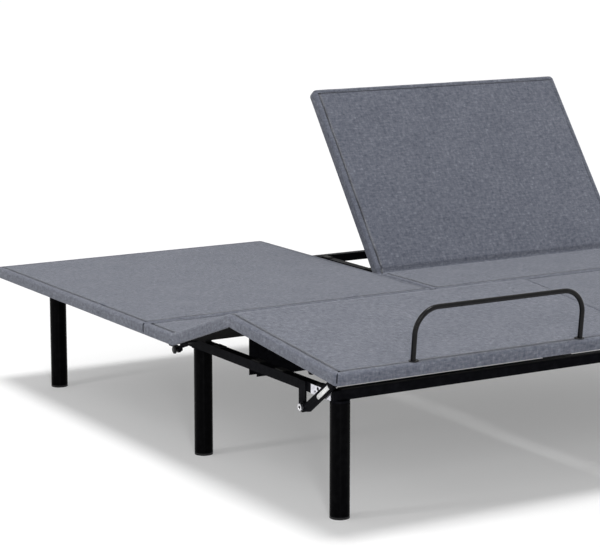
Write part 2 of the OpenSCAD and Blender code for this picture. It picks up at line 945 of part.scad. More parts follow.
// Nylon liner in the link's slot, closed on the rail's side
module link_liner() {
    color("#e8e6dc") difference() {
        profile(link_x - liner_lip, link_thickness + 2 * liner_lip)
            link_line() stadium(slot_start, slot_end, slot_half + liner_wall);
        profile(link_x - liner_lip + liner_web, link_thickness + 2 * liner_lip)
            link_line() stadium(slot_start, slot_end, slot_half);
    }
}

// Bracket under the foot section's outer edge, with the pin that slides in the link
module foot_bracket() {
    pin_y = y_knee - link_pin_back;
    pin_z = z_hinge - link_pin_drop;
    pin_start = link_x - liner_lip + liner_web + lug_gap;
    color("#17171a") {
        profile(bracket_x, bracket_thickness) {
            polygon([
                [pin_y - bracket_half, z_deck], [pin_y + bracket_half, z_deck],
                [pin_y + bracket_tip, pin_z], [pin_y - bracket_tip, pin_z]
            ]);
            translate([pin_y, pin_z]) circle(bracket_tip);
        }
        translate([bracket_x, pin_y - bracket_half, z_deck - strap_thickness])
            cube([bracket_flange, 2 * bracket_half, strap_thickness]);
        bar_x(pin_start, pin_y, pin_z, link_pin / 2, bracket_x + 1 - pin_start);
    }
}

// ---------- retainer bar ----------

module retainer_bar() {
    tube = bar_diameter / 2;
    foot_z = z_board_top + 1;
    straight = z_top + bar_height - tube - bar_radius - foot_z;
    color("#0d0d0f") translate([0, bar_y_place, foot_z]) {
        mirrored() {
            translate([bar_width / 2, 0, 0]) cylinder(r = tube, h = straight);
            translate([bar_width / 2 - bar_radius, 0, straight]) rotate([90, 0, 0])
                rotate_extrude(angle = 90) translate([bar_radius, 0]) circle(tube);
        }
        translate([-bar_width / 2 + bar_radius, 0, straight + bar_radius]) rotate([0, 90, 0])
            cylinder(r = tube, h = bar_width - 2 * bar_radius);
    }
}

// Flanged sockets that seat the bar in the deck
module bar_sockets() {
    color("#1a1a1c") mirrored() translate([bar_width / 2, bar_y_place, 0]) difference() {
        union() {
            translate([0, 0, z_board_top])
                cylinder(r = socket_radius, h = z_top + 1 - z_board_top);
            translate([0, 0, z_top + soft_gap])
                cylinder(r = socket_flange, h = flange_height);
        }
        translate([0, 0, z_board_top - 1])
            cylinder(r = bar_diameter / 2 + running_gap, h = deck_thickness);
    }
}

// ---------- the assembly ----------

side_rails();
end_rails();
cross_members();
drive_cradles();
leg_plates();
legs();
leg_glides();
leg_studs();
rail_buffers();
seat_boards();
half(-1) seat_pads();  // left_seat_pads
half(1) seat_pads();  // right_seat_pads
gearboxes();
motors();
drive_tubes();
drive_brackets();
drive_pins();
control_boxes();
power_inlets();
link_hangers();
link_bolts();
rail_plates();
frame_couplers();
back_hinges();
thigh_hinges();
thigh_hinge_bolts();

half(-1) at_back(left_back_angle) back_board();  // left_back_board
half(-1) at_back(left_back_angle) back_pad();  // left_back_pad
half(-1) at_back(left_back_angle) back_frame();  // left_back_frame
half(-1) at_back_rod(left_back_angle) back_rod();  // left_back_rod
half(-1) at_thigh(left_knee_angle) thigh_board();  // left_thigh_board
half(-1) at_thigh(left_knee_angle) thigh_pad();  // left_thigh_pad
half(-1) at_thigh(left_knee_angle) thigh_frame();  // left_thigh_frame
half(-1) at_thigh(left_knee_angle) knee_pins();  // left_knee_pins
half(-1) at_leg_rod(left_knee_angle) leg_rod();  // left_leg_rod
half(-1) at_foot(left_knee_angle) foot_board();  // left_foot_board
half(-1) at_foot(left_knee_angle) foot_pad();  // left_foot_pad
half(-1) at_foot(left_knee_angle) foot_frame();  // left_foot_frame
outer_side(-1) at_foot(left_knee_angle) foot_bracket();  // left_foot_bracket
half(-1) at_foot(left_knee_angle) retainer_bar();  // left_retainer_bar
half(-1) at_foot(left_knee_angle) bar_sockets();  // left_bar_sockets
outer_side(-1) at_link(left_knee_angle) foot_link();  // left_foot_link
outer_side(-1) at_link(left_knee_angle) link_liner();  // left_link_liner

half(1) at_back(right_back_angle) back_board();  // right_back_board
half(1) at_back(right_back_angle) back_pad();  // right_back_pad
half(1) at_back(right_back_angle) back_frame();  // right_back_frame
half(1) at_back_rod(right_back_angle) back_rod();  // right_back_rod
half(1) at_thigh(right_knee_angle) thigh_board();  // right_thigh_board
half(1) at_thigh(right_knee_angle) thigh_pad();  // right_thigh_pad
half(1) at_thigh(right_knee_angle) thigh_frame();  // right_thigh_frame
half(1) at_thigh(right_knee_angle) knee_pins();  // right_knee_pins
half(1) at_leg_rod(right_knee_angle) leg_rod();  // right_leg_rod
half(1) at_foot(right_knee_angle) foot_board();  // right_foot_board
half(1) at_foot(right_knee_angle) foot_pad();  // right_foot_pad
half(1) at_foot(right_knee_angle) foot_frame();  // right_foot_frame
outer_side(1) at_foot(right_knee_angle) foot_bracket();  // right_foot_bracket
half(1) at_foot(right_knee_angle) retainer_bar();  // right_retainer_bar
half(1) at_foot(right_knee_angle) bar_sockets();  // right_bar_sockets
outer_side(1) at_link(right_knee_angle) foot_link();  // right_foot_link
outer_side(1) at_link(right_knee_angle) link_liner();  // right_link_liner
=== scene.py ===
import json
import math
import random

import bpy
import numpy as np
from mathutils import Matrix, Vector


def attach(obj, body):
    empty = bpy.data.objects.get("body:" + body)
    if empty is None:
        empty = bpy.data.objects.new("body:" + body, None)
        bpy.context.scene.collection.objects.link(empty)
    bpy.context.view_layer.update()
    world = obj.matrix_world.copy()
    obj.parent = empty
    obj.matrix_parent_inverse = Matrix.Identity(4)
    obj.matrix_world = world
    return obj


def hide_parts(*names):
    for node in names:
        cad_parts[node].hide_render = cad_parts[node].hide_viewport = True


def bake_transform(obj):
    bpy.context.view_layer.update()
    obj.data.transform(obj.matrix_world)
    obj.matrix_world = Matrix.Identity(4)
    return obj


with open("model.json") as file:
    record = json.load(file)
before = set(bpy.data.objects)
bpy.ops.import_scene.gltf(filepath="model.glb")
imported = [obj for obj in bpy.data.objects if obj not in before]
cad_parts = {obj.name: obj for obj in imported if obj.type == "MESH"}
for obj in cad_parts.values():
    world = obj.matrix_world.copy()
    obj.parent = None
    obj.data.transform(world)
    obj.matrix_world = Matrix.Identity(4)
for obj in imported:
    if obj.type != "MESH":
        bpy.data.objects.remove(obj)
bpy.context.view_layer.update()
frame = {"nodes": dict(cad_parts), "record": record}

random.seed(7)

# ---------------------------------------------------------------- sizes, in metres

HALF_X = 0.4875  # middle of each half, from the bed's middle
HALF_W = 0.4825  # half the width of a deck
Z_DECK = 0.331  # underside of the deck
Z_TOP = 0.363  # top of the deck
Z_POCKET = 0.3434  # top of the pocket that takes the board
Z_HINGE = 0.319
Y_FOOT, Y_HEAD = -1.016, 1.016
Y_BACK, Y_THIGH, Y_KNEE = 0.331, -0.168, -0.496
Y_CUT = -0.332  # where the thigh's cover is made in two
BACK = {"left": 0.0, "right": math.radians(54)}  # how far each half is raised in the photograph
KNEE = {"left": math.radians(19), "right": 0.0}
SIDE = {"left": -1, "right": 1}
FOOT_RATIO = 1.3  # how far the foot section folds for each degree of the thigh

# ---------------------------------------------------------------- materials

MATERIALS = {}


def shader(name):
    """A new material with one Principled shader, kept under its name."""
    material = bpy.data.materials.new(name)
    material.use_nodes = True
    tree = material.node_tree
    tree.nodes.clear()
    out = tree.nodes.new("ShaderNodeOutputMaterial")
    surface = tree.nodes.new("ShaderNodeBsdfPrincipled")
    tree.links.new(surface.outputs[0], out.inputs[0])
    MATERIALS[name] = material
    return tree, surface


def object_place(tree):
    return tree.nodes.new("ShaderNodeTexCoord").outputs["Object"]


def ramp(tree, value, stops):
    """Colours between the stops, each (position, colour)."""
    node = tree.nodes.new("ShaderNodeValToRGB")
    elements = node.color_ramp.elements
    while len(elements) < len(stops):
        elements.new(0.5)
    for k, (at, colour) in enumerate(stops):
        elements[k].position = at
        elements[k].color = (*colour, 1)
    tree.links.new(value, node.inputs[0])
    return node.outputs[0]


def noise(tree, place, scale, detail=3, rough=0.5):
    node = tree.nodes.new("ShaderNodeTexNoise")
    node.inputs["Scale"].default_value = scale
    node.inputs["Detail"].default_value = detail
    node.inputs["Roughness"].default_value = rough
    tree.links.new(place, node.inputs["Vector"])
    return node.outputs["Fac"]


def stretched(tree, place, scale):
    node = tree.nodes.new("ShaderNodeMapping")
    node.inputs["Scale"].default_value = scale
    tree.links.new(place, node.inputs["Vector"])
    return node.outputs[0]


def math_node(tree, operation, *values):
    node = tree.nodes.new("ShaderNodeMath")
    node.operation = operation
    for k, value in enumerate(values):
        if isinstance(value, (int, float)):
            node.inputs[k].default_value = value
        else:
            tree.links.new(value, node.inputs[k])
    return node.outputs[0]


def weighted(tree, *parts):
    """The sum of the parts, each (value, weight)."""
    terms = [math_node(tree, "MULTIPLY", value, weight) for value, weight in parts]
    total = terms[0]
    for term in terms[1:]:
        total = math_node(tree, "ADD", total, term)
    return total


def bump(tree, surface, height, strength, distance):
    node = tree.nodes.new("ShaderNodeBump")
    node.inputs["Strength"].default_value = strength
    node.inputs["Distance"].default_value = distance
    tree.links.new(height, node.inputs["Height"])
    tree.links.new(node.outputs[0], surface.inputs["Normal"])


def uneven_roughness(tree, surface, value, low, high):
    stops = [(0.3, (low, low, low)), (0.7, (high, high, high))]
    tree.links.new(ramp(tree, value, stops), surface.inputs["Roughness"])


def uneven_colour(tree, surface, value, *stops):
    tree.links.new(ramp(tree, value, stops), surface.inputs["Base Color"])


def lighter(colour, times, more=0.0):
    return tuple(c * times + more for c in colour)


def coat_paint(name, colour, rough, spread, peel_scale, peel, shine, drawn=0.0):
    """Powder coat or gloss paint: uneven sheen, orange peel and a little dust.
    A drawn tube has its grain upright."""
    tree, surface = shader(name)
    place = object_place(tree)
    cloud = noise(tree, place, scale=9, detail=4)
    fine = noise(tree, place, scale=420, detail=2)
    dust = noise(tree, place, scale=60, detail=6, rough=0.7)
    sheen = weighted(tree, (cloud, 0.6), (fine, 0.4))
    uneven_roughness(tree, surface, sheen, rough - spread, rough + spread)
    uneven_colour(tree, surface, dust, (0.45, colour), (0.8, lighter(colour, 1.9, 0.003)))
    bump(tree, surface, noise(tree, place, peel_scale, detail=2), strength=1.0, distance=peel)
    surface.inputs["Specular IOR Level"].default_value = shine
    if drawn:
        surface.inputs["Anisotropic"].default_value = drawn
        upright = tree.nodes.new("ShaderNodeCombineXYZ")
        upright.inputs[2].default_value = 1
        tree.links.new(upright.outputs[0], surface.inputs["Tangent"])


def plated(name, dark, light, rough, brushed=(1, 1, 1)):
    """Plated or machined metal with fine scratches and faint blotches."""
    tree, surface = shader(name)
    place = object_place(tree)
    surface.inputs["Metallic"].default_value = 1.0
    blotch = noise(tree, place, scale=70, detail=5, rough=0.65)
    scratch = noise(tree, stretched(tree, place, brushed), scale=500, detail=3)
    uneven_colour(tree, surface, blotch, (0.35, dark), (0.65, light))
    uneven_roughness(tree, surface, scratch, rough * 0.7, rough * 1.4)
    bump(tree, surface, scratch, strength=0.4, distance=0.00004)


def plastic(name, colour, rough, grain, depth):
    """Moulded plastic, rubber or spun thread: a fine grain and a cloudy sheen."""
    tree, surface = shader(name)
    place = object_place(tree)
    cells = tree.nodes.new("ShaderNodeTexVoronoi")
    cells.inputs["Scale"].default_value = grain
    tree.links.new(place, cells.inputs["Vector"])
    cloud = noise(tree, place, scale=25, detail=5)
    uneven_colour(tree, surface, cloud, (0.35, colour), (0.75, lighter(colour, 1.5, 0.003)))
    uneven_roughness(tree, surface, noise(tree, place, scale=200, detail=2), rough - 0.06, rough + 0.06)
    surface.inputs["Specular IOR Level"].default_value = 0.3
    bump(tree, surface, cells.outputs["Distance"], strength=0.6, distance=depth)


def woven(name, stops):
    """Heathered linen: two crossed yarns, slubs and lighter fibres, read from a flat map in metres."""
    tree, surface = shader(name)
    flat_uv = tree.nodes.new("ShaderNodeUVMap")
    flat_uv.uv_map = "Flat"
    place = flat_uv.outputs[0]
    warp = noise(tree, stretched(tree, place, (1.0, 0.16, 1)), scale=520, detail=3, rough=0.6)
    weft = noise(tree, stretched(tree, place, (0.16, 1.0, 1)), scale=520, detail=3, rough=0.6)
    slub = noise(tree, stretched(tree, place, (0.35, 1.0, 1)), scale=150, detail=4, rough=0.6)
    cross = noise(tree, stretched(tree, place, (1.0, 0.4, 1)), scale=120, detail=4, rough=0.6)
    shade = noise(tree, place, scale=9, detail=3)
    yarns = weighted(tree, (warp, 0.17), (weft, 0.17), (slub, 0.32), (cross, 0.26), (shade, 0.08))
    uneven_colour(tree, surface, yarns, *stops)
    surface.inputs["Roughness"].default_value = 0.93
    surface.inputs["Specular IOR Level"].default_value = 0.25
    surface.inputs["Sheen Weight"].default_value = 0.25
    surface.inputs["Sheen Roughness"].default_value = 0.5
    threads = []
    for direction in ("X", "Y"):
        bands = tree.nodes.new("ShaderNodeTexWave")
        bands.bands_direction = direction
        bands.inputs["Scale"].default_value = 250
        bands.inputs["Distortion"].default_value = 1.4
        bands.inputs["Detail"].default_value = 1
        bands.inputs["Detail Scale"].default_value = 2
        tree.links.new(place, bands.inputs["Vector"])
        threads.append(bands.outputs["Fac"])
    weave = math_node(tree, "MAXIMUM", *threads)
    bump(tree, surface, weighted(tree, (weave, 0.5), (slub, 0.8)), strength=0.7, distance=0.0006)


def felted(name, colour):
    """Black lining cloth on the boards: matted fibres."""
    tree, surface = shader(name)
    place = object_place(tree)
    long_fibres = noise(tree, stretched(tree, place, (1.0, 0.2, 1)), scale=300, detail=5, rough=0.7)
    cross_fibres = noise(tree, stretched(tree, place, (0.25, 1.0, 1)), scale=260, detail=5, rough=0.7)
    fibres = math_node(tree, "MAXIMUM", long_fibres, cross_fibres)
    uneven_colour(tree, surface, fibres, (0.45, colour), (0.75, lighter(colour, 3)))
    surface.inputs["Roughness"].default_value = 0.95
    surface.inputs["Specular IOR Level"].default_value = 0.06
    bump(tree, surface, fibres, strength=0.6, distance=0.0004)


BRUSHED = (1, 0.05, 1)  # marks that run along the bed
coat_paint("frame_steel", (0.0040, 0.0042, 0.0056), rough=0.44, spread=0.07, peel_scale=700,
           peel=0.00005, shine=0.010)
coat_paint("leg_steel", (0.0010, 0.0010, 0.0014), rough=0.24, spread=0.02, peel_scale=160,
           peel=0.00001, shine=0.02, drawn=1.0)
coat_paint("gloss_steel", (0.0020, 0.0020, 0.0024), rough=0.24, spread=0.04, peel_scale=260,
           peel=0.00002, shine=0.16)
woven("deck_fabric", [(0.39, (0.058, 0.067, 0.094)), (0.47, (0.109, 0.119, 0.154)),
                      (0.545, (0.153, 0.164, 0.202)), (0.64, (0.280, 0.293, 0.342))])
felted("deck_board", (0.0034, 0.0034, 0.0036))
plastic("black_plastic", (0.005, 0.005, 0.006), rough=0.5, grain=900, depth=0.00008)
plastic("buffer_rubber", (0.004, 0.004, 0.004), rough=0.75, grain=500, depth=0.0001)
plated("zinc_plate", (0.50, 0.50, 0.54), (0.74, 0.74, 0.80), rough=0.28)
plated("drive_aluminium", (0.40, 0.41, 0.42), (0.55, 0.56, 0.57), rough=0.32, brushed=BRUSHED)
plated("rod_steel", (0.60, 0.60, 0.61), (0.74, 0.74, 0.75), rough=0.12, brushed=BRUSHED)
plastic("nylon", (0.80, 0.80, 0.80), rough=0.4, grain=300, depth=0.00004)
# painted shade: near-black faces for the shadow inside the sunk corner seams and the seat's joint
plastic("seam_painted_shade", (0.016, 0.018, 0.025), rough=0.9, grain=1500, depth=0.00008)
plastic("thread", (0.105, 0.120, 0.150), rough=0.7, grain=1500, depth=0.00008)

# ---------------------------------------------------------------- helpers


def mesh_object(name, verts, faces, materials, kinds=None):
    """A mesh in the scene; kinds gives each face's place in the list of materials."""
    mesh = bpy.data.meshes.new(name)
    mesh.from_pydata([tuple(v) for v in verts], [], faces)
    for material in materials:
        mesh.materials.append(MATERIALS[material])
    if kinds is not None:
        mesh.polygons.foreach_set("material_index", kinds)
    mesh.update()
    o = bpy.data.objects.new(name, mesh)
    bpy.context.scene.collection.objects.link(o)
    return o


def turn(points, hinge, angle):
    """Points turned about +X through hinge = (y, z)."""
    points = np.array(points, float)
    y, z = points[:, 1] - hinge[0], points[:, 2] - hinge[1]
    c, s = math.cos(angle), math.sin(angle)
    return np.column_stack([points[:, 0], hinge[0] + y * c - z * s, hinge[1] + y * s + z * c])


def smooth(t):
    t = np.clip(t, 0, 1)
    return t * t * (3 - 2 * t)


def bend(points, hinge, angle, width, way):
    """Each point's share of the angle is the one read back from its bent place, so the bend runs smoothly
    across a strip of the given width; also returns the strip's two ends.
    """
    halvings = 36
    points = np.array(points, float)
    along = np.array([math.cos(angle / 2), math.sin(angle / 2)]) * way
    y, z = points[:, 1] - hinge[0], points[:, 2] - hinge[1]
    low, high = np.zeros(len(points)), np.ones(len(points))
    for _ in range(halvings):
        share = (low + high) / 2
        c, s = np.cos(angle * share), np.sin(angle * share)
        t = 0.5 + ((y * c - z * s) * along[0] + (y * s + z * c) * along[1]) / width
        over = smooth(t) > share
        low = np.where(over, share, low)
        high = np.where(over, high, share)
    share = (low + high) / 2
    c, s = np.cos(angle * share), np.sin(angle * share)
    bent = np.column_stack([points[:, 0], hinge[0] + y * c - z * s, hinge[1] + y * s + z * c])
    middle = np.array(hinge)
    return bent, middle - along * width / 2, middle + along * width / 2


def lines(points, step, fine_at=(), fine=0.004, reach=0.05):
    """Grid lines through the points: step apart, and fine apart within reach of the places in fine_at.
    A last gap that would be short joins the one before it."""
    short = 0.4
    out = [points[0]]
    for a, b in zip(points, points[1:]):
        x = a
        while x < b - 1e-9:
            near = any(abs(x - f) < reach for f in fine_at)
            gap = fine if near else step
            x = min(b, x + gap)
            if b - x < short * gap:
                x = b
            out.append(x)
    return np.array(out)


# ---------------------------------------------------------------- the upholstered deck

GRID = 0.0125  # between the lines of a section's mesh
CORNER = 0.014  # radius of a section's corners, in plan
EDGE_ROUND = 0.0075  # radius of the top's edge
WELT = 0.0002  # how far the cloth inside the stitched groove stands up
SIDE_TOP, SIDE_STEP = -0.0078, 0.0042  # levels down the side, from the top
UNDER_TOP, UNDER_IN, UNDER_DOWN = -0.0295, 0.0032, 0.0027  # the rounding below the side
LIP_START, LIP = 0.0075, 0.0134  # the cloth that is wrapped under the deck, in from the edge
LIP_UNDER, LIP_UPPER = -0.0322, -0.0319  # its two faces, from the top
POCKET_IN = 0.0079  # side of the board's pocket, in from the edge
FAN = 12  # steps round a corner
ROUND_POWER, SQUARE_POWER = 2, 9  # 2 gives a round corner; the higher, the squarer
SEAM_DEPTH, SEAM_LIFT = -0.0022, 0.0004  # of the upright seam at a round corner, and of the cloth beside it
JOINT_DEPTH = -0.0003  # of the seam in the middle of the seat
BELLY = 0.0006  # how far a side swells
FABRIC, THREAD, SEAM_SHADE = 0, 1, 2  # a face's place in COVER_MATERIALS; the third is painted shade for the seams
COVER_MATERIALS = ["deck_fabric", "thread", "seam_painted_shade"]


def arc(steps, last):
    """The angles of the first points, up to the last one, of a quarter circle in so many steps."""
    return [math.radians(90 * k / steps) for k in range(1, last + 1)]


# the cover's edge from the top to the board's pocket, each (outward from the corner's centre, from the top)
GROOVE = [(0.0008, 0.0), (0.0018, 0.0), (0.0024, -0.0002), (0.0030, -0.0004), (0.0036, -0.0002),
          (0.0044, 0.0001), (0.0056, WELT)]
ROUNDED = [(CORNER - EDGE_ROUND + EDGE_ROUND * math.sin(a), -EDGE_ROUND * (1 - math.cos(a)) + WELT)
           for a in arc(8, 7)]
UPRIGHT = [(CORNER, SIDE_TOP - SIDE_STEP * k) for k in range(6)]
TURNED_IN = [(CORNER - UNDER_IN * (1 - math.cos(a)), UNDER_TOP - UNDER_DOWN * math.sin(a)) for a in arc(4, 4)]
WRAPPED = [(CORNER - LIP_START, LIP_UNDER), (CORNER - LIP, LIP_UNDER), (CORNER - LIP, LIP_UPPER),
           (CORNER - POCKET_IN, LIP_UPPER), (CORNER - POCKET_IN, Z_POCKET - Z_TOP)]
EDGE = GROOVE + ROUNDED + UPRIGHT + TURNED_IN + WRAPPED
SOFT_LEVELS = range(7, 22)  # the levels of EDGE that swell, and in which a seam is sunk
SHADED_SEAM_LEVELS = range(9, 18)  # the levels whose faces beside a sunk seam are painted near black as shade

WAVES = [(1.0, 0.6, 2.1, 0.3), (-0.7, 1.3, 1.1, 1.9), (1.9, -0.4, 0.7, 4.1), (0.4, 2.2, -1.6, 2.6),
         (-1.5, -1.8, 2.9, 5.2), (2.6, 0.9, 0.2, 0.8)]  # each (share of x, of y, of z, phase)


def wave(x, y, z, scale, amount):
    """Smooth uneven stuffing: a few crossed waves with fixed phases."""
    total = np.zeros(len(x))
    for in_x, in_y, in_z, phase in WAVES:
        total += np.sin((in_x * x + in_y * y + in_z * z) * scale + phase) / len(WAVES)
    return total * amount


def outline(across, along, square_end):
    """Stations round a section, each (line across, line along, outward direction, reach, seam).
    square_end is the end (0 or 1) that butts against its neighbour."""
    stations = []
    nu, ns = len(across), len(along)
    # each side: its first grid point, its step, its count of points and the end at which it stops
    sides = [((0, 0), (1, 0), nu, 0), ((nu - 1, 0), (0, 1), ns, 1),
             ((nu - 1, ns - 1), (-1, 0), nu, 1), ((0, ns - 1), (0, -1), ns, 0)]
    for start, step, count, end in sides:
        out = (step[1], -step[0])
        for c in range(count):
            stations.append((start[0] + step[0] * c, start[1] + step[1] * c, out, 1.0, 0.0))
        i, j = stations[-1][:2]
        square = end == square_end
        power = SQUARE_POWER if square else ROUND_POWER
        for f in range(1, FAN):
            q = math.radians(90 * f / FAN)
            a = math.atan2(out[1], out[0]) + q
            reach = 1 / (abs(math.cos(q)) ** power + abs(math.sin(q)) ** power) ** (1 / power)
            seam = 0.0
            if not square:
                seam = {0: SEAM_DEPTH, 1: SEAM_LIFT}.get(abs(f - FAN // 2), 0.0)
            elif square_end == 0 and f == FAN // 2:
                seam = JOINT_DEPTH
            stations.append((i, j, (math.cos(a), math.sin(a)), reach, seam))
    return stations


def edge_rings(across, along, stations):
    """The cover's points round its edge, a ring for each level of EDGE."""
    points = []
    for level, (out, dz) in enumerate(EDGE):
        soft = 1.0 if level in SOFT_LEVELS else 0.0
        belly = BELLY * math.sin(math.pi * min(1, max(0, -dz / (Z_TOP - Z_DECK)))) if soft else 0.0
        for i, j, direction, reach, seam in stations:
            o = (out + belly + seam * soft) * (1 + (reach - 1) * min(1, max(0, out / CORNER)))
            points.append([across[i] + direction[0] * o, along[j] + direction[1] * o, Z_TOP + dz])
    return points


def stuffed(points, y0, y1):
    """The stuffing: a low crown, uneven foam and a quiet ripple on the sides."""
    crown_height, crown_start, crown_reach = 0.0016, 0.012, 0.035
    foam_scale, foam_height, foam_reach = 22, 0.0009, 0.03
    ripple_scale, ripple_depth, ripple_run, ripple_rise = 55, 0.0007, 0.6, 0.4
    top_slack = 0.0009  # the top's points are within this of Z_TOP
    side_depth, side_low, side_high = 0.006, Z_DECK + 0.0015, Z_TOP - 0.004
    x, y, z = points.T
    inside = np.minimum.reduce([x + HALF_W, HALF_W - x, y - y0, y1 - y])
    crown = crown_height * (1 - np.exp(-np.clip(inside - crown_start, 0, 1) / crown_reach))
    level = np.zeros(len(z))
    foam = wave(x, y, level, foam_scale, foam_height) * np.clip(inside / foam_reach, 0, 1)
    z = np.where(z > Z_TOP - top_slack, z + crown + foam, z)
    side = (z > side_low) & (z < side_high) & (inside < side_depth)
    ripple = wave(x * ripple_run, y * ripple_run, z * ripple_rise, ripple_scale, ripple_depth)
    x = np.where(side & (np.abs(x) > HALF_W - side_depth), x + np.sign(x) * ripple, x)
    outward = np.where(y > (y0 + y1) / 2, 1, -1)
    y = np.where(side & (np.abs(x) < HALF_W - side_depth), y + outward * ripple, y)
    return np.column_stack([x, y, z])


def cushion(y0, y1, square_end, fine_at, keep):
    """One upholstered section in the flat: a closed solid with a rounded edge, a stitched groove, corner
    seams with painted shade in them, a wrapped lip and a pocket for the board. Returns its points, its faces
    and their kinds."""
    across = lines([-HALF_W + CORNER, 0.0, HALF_W - CORNER], GRID)
    along = lines([y0 + CORNER, *keep, y1 - CORNER], GRID, fine_at)
    nu, ns = len(across), len(along)
    stations = outline(across, along, square_end)
    n = len(stations)
    grid = np.array([[u, s, Z_TOP] for s in along for u in across])
    under = grid.copy()
    under[:, 2] = Z_POCKET
    verts = np.vstack([grid, np.array(edge_rings(across, along, stations)), under])
    base, low = nu * ns, nu * ns + n * len(EDGE)
    faces, kinds = [], []
    for j in range(ns - 1):
        for i in range(nu - 1):
            q = [j * nu + i, j * nu + i + 1, (j + 1) * nu + i + 1, (j + 1) * nu + i]
            faces.append(q)
            faces.append([low + v for v in reversed(q)])
            kinds += [FABRIC, FABRIC]
    rim = [j * nu + i for i, j, *_ in stations]
    rings = [rim] + [[base + level * n + k for k in range(n)] for level in range(len(EDGE))]
    rings.append([low + v for v in rim])
    for level, (upper, lower) in enumerate(zip(rings, rings[1:]), start=-1):
        for k in range(n):
            m = (k + 1) % n
            q = [upper[k]]
            for v in (lower[k], lower[m], upper[m]):
                if v not in q:
                    q.append(v)
            if len(q) > 2:
                faces.append(q[::-1])
                sunk = min(stations[k][4], stations[m][4]) < 0
                kinds.append(SEAM_SHADE if sunk and level in SHADED_SEAM_LEVELS else FABRIC)
    return stuffed(verts, y0, y1), faces, kinds


def stitches(y0, y1):
    """Topstitching round a section: short thread lengths that dip at both ends."""
    inset, corner_gap, pitch, above = 0.0112, 0.01, 0.0075, 0.0001
    # one stitch, each point (along it, across it, above the cloth)
    shape = [(-0.0026, 0, -0.0006), (-0.0012, -0.0004, 0), (-0.0012, 0.0004, 0),
             (0.0012, 0.0004, 0), (0.0012, -0.0004, 0), (0.0026, 0, -0.0006)]
    verts, faces = [], []
    x, near, far = HALF_W - inset, y0 + inset, y1 - inset
    x_end, near_end, far_end = x - corner_gap, near + corner_gap, far - corner_gap
    runs = [((-x_end, near), (x_end, near)), ((x, near_end), (x, far_end)),
            ((x_end, far), (-x_end, far)), ((-x, far_end), (-x, near_end))]
    for start, end in runs:
        start, end = np.array(start), np.array(end)
        length = np.linalg.norm(end - start)
        d = (end - start) / length
        side = np.array([-d[1], d[0]])
        for k in range(int(length / pitch)):
            middle = start + d * (pitch * (k + 0.5))
            at = len(verts)
            for t, w, h in shape:
                v = middle + d * t + side * w
                verts.append([v[0], v[1], Z_TOP + above + h])
            faces += [[at + 2, at + 1, at], [at + 2, at + 3, at + 4, at + 1], [at + 3, at + 4, at + 5]]
    return np.array(verts), faces


def section(y0, y1, square_end, fine_at, keep):
    """A cushion with its topstitching."""
    flat, faces, kinds = cushion(y0, y1, square_end, fine_at, keep)
    thread, thread_faces = stitches(y0, y1)
    faces = faces + [[v + len(flat) for v in f] for f in thread_faces]
    return np.vstack([flat, thread]), faces, kinds + [THREAD] * len(thread_faces)


def flat_map(mesh, flat, faces):
    """The weave's map in metres, from the flat shape, so that the cloth runs true round the bends."""
    upward = 0.75  # from this share of the largest part, a normal counts as upward
    layer = mesh.uv_layers.new(name="Flat")
    uv = np.zeros((len(mesh.loops), 2))
    k = 0
    for f in faces:
        p = flat[f]
        normal = np.zeros(3)
        for a in range(len(f)):
            normal += np.cross(p[a], p[(a + 1) % len(f)])
        normal = np.abs(normal)
        if normal[2] > upward * max(normal[0], normal[1]):
            axes = (0, 1)
        elif normal[0] > normal[1]:
            axes = (1, 2)
        else:
            axes = (0, 2)
        uv[k : k + len(f)] = p[:, axes]
        k += len(f)
    layer.data.foreach_set("uv", uv.ravel().astype(np.float32))


def cover(name, side, cloth, place, replaced):
    """A soft piece made of some faces of a section, bent to the photographed pose by place."""
    flat, faces, kinds = cloth
    used = sorted({v for f in faces for v in f})
    new = {v: k for k, v in enumerate(used)}
    faces = [[new[v] for v in f] for f in faces]
    flat = flat[used]
    shift = np.array([SIDE[side] * HALF_X, 0, 0])
    bent, start, end = place(flat)
    o = mesh_object(name, bent + shift, faces, COVER_MATERIALS, kinds)
    flat_map(o.data, flat, faces)
    o.data.polygons.foreach_set("use_smooth", [True] * len(faces))
    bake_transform(o)
    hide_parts(*replaced)


def picked(cloth, keep):
    """The faces of a section whose middles, along the bed, keep takes."""
    flat, faces, kinds = cloth
    chosen = [k for k, f in enumerate(faces) if keep(np.mean(flat[f, 1]))]
    return flat, [faces[k] for k in chosen], [kinds[k] for k in chosen]


def back_place(side):
    """How the back's cover is bent; the strip that bends is narrower where the back is raised."""
    width = 0.034 if BACK[side] else 0.080
    return lambda points: bend(points, (Y_BACK, Z_HINGE), BACK[side], width, 1)


def thigh_place(side):
    width = 0.026 if KNEE[side] else 0.044
    return lambda points: bend(points, (Y_THIGH, Z_HINGE), -KNEE[side], width, -1)


def leg_place(side):
    """Bent at the knee, and then turned with the thigh."""
    width = 0.045

    def place(points):
        bent, start, end = bend(points, (Y_KNEE, Z_HINGE), FOOT_RATIO * KNEE[side], width, -1)
        ends = turn([[0, *start], [0, *end]], (Y_THIGH, Z_HINGE), -KNEE[side])
        return turn(bent, (Y_THIGH, Z_HINGE), -KNEE[side]), ends[0][1:], ends[1][1:]

    return place


